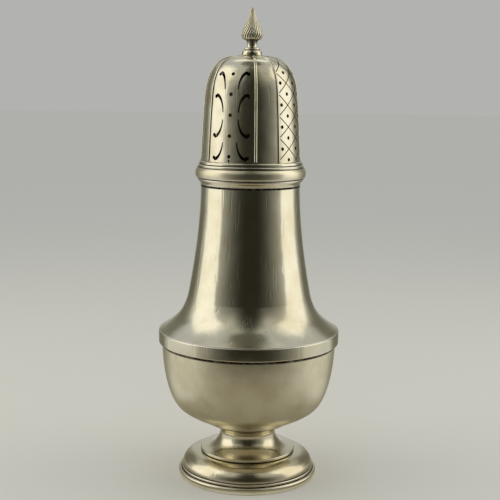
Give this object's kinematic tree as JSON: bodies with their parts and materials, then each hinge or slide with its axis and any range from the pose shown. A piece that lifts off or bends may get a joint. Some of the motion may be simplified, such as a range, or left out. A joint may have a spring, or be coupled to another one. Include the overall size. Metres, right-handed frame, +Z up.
{
  "type": "sugar caster",
  "caption": "Hollow waisted caster on a spread foot, with a pierced dome cover that pulls off its neck and a wrythen flame finial.",
  "frame": {"origin": "on the ground, at the middle of the underside of the foot", "axes": "+Z up along the turning axis; -Y out of the front, 25.5 degrees to the right of the middle of a scroll panel of the cover"},
  "size_m": [0.0736, 0.0736, 0.19],
  "materials": {
    "polished_silver": "polished sterling silver with a thin warm tarnish",
    "satin_silver": "sterling silver worn to a satin, with a straw tarnish",
    "worn_silver": "rubbed sterling silver wire and bands, dulled in the corners",
    "pierced_silver": "polished sterling silver, pierced and chased",
    "cast_silver": "cast sterling silver with dark in the grooves",
    "inner_silver": "unpolished sterling silver inside the neck",
    "screw_metal": "dull silver screw, washer and nut"
  },
  "bodies": {
    "body": {"foot_rim": "worn_silver", "foot_dome": "polished_silver", "foot_stem": "polished_silver", "bowl": "satin_silver", "girdle_band": "worn_silver", "body_shell": "polished_silver", "neck_ring": "worn_silver"},
    "cover": {"cover_sleeve": "inner_silver", "cover_rim": "polished_silver", "cover_moulding": "polished_silver", "cover_dome": "pierced_silver", "cover_rib_1": "pierced_silver", "cover_rib_2": "pierced_silver", "cover_rib_3": "pierced_silver", "cover_rib_4": "pierced_silver", "cover_rib_5": "pierced_silver", "cover_rib_6": "pierced_silver", "cover_rib_7": "pierced_silver", "cover_rib_8": "pierced_silver", "finial_button": "cast_silver", "finial_flame": "cast_silver", "finial_stud": "screw_metal", "finial_washer": "screw_metal", "finial_nut": "screw_metal"}
  },
  "joints": [
    {"name": "cover_lift", "type": "slide", "parent": "body", "child": "cover", "axis": [0, 0, 1], "range_m": [0, 0.03]}
  ]
}
